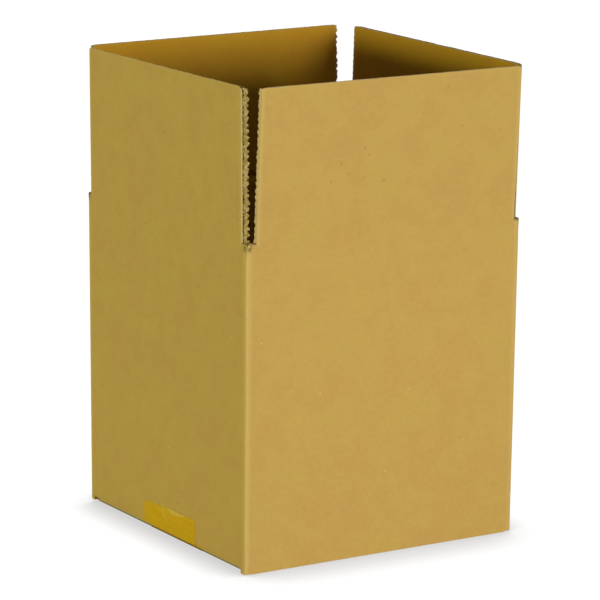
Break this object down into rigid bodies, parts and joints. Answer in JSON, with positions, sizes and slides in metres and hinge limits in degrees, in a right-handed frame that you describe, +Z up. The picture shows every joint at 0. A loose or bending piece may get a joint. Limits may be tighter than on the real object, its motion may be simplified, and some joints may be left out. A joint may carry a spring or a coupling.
{
  "type": "open cardboard box",
  "caption": "Near-cubic slotted carton of fluted kraft board with hinged top flaps standing open and its base shut by a strip of amber tape.",
  "frame": {"origin": "middle of the box's footprint, on the underside of the tape that it stands on", "axes": "+Z up along the height, -Y towards the front panel, -X towards the left panel with the tape end"},
  "size_m": [0.1597, 0.1624, 0.2393],
  "materials": {
    "board": "matte",
    "flap_board": "matte",
    "tape": "gloss"
  },
  "bodies": {
    "box": {"box_body": "board", "bottom_tape": "tape"},
    "front_flap": {"top_flap_front": "flap_board"},
    "back_flap": {"top_flap_back": "flap_board"},
    "left_flap": {"top_flap_left": "flap_board"},
    "right_flap": {"top_flap_right": "flap_board"}
  },
  "joints": [
    {"name": "front_flap_hinge", "type": "hinge", "parent": "box", "child": "front_flap", "pos_m": [0, -0.07775, 0.16452], "axis": [-1, 0, 0], "range_deg": [-166.9, 93.1]},
    {"name": "back_flap_hinge", "type": "hinge", "parent": "box", "child": "back_flap", "pos_m": [0, 0.07775, 0.16452], "axis": [1, 0, 0], "range_deg": [-167.8, 92.2]},
    {"name": "left_flap_hinge", "type": "hinge", "parent": "box", "child": "left_flap", "pos_m": [-0.0785, 0, 0.16132], "axis": [0, 1, 0], "range_deg": [-169.4, 90.6]},
    {"name": "right_flap_hinge", "type": "hinge", "parent": "box", "child": "right_flap", "pos_m": [0.0785, 0, 0.16132], "axis": [0, -1, 0], "range_deg": [-168.6, 91.4]}
  ]
}
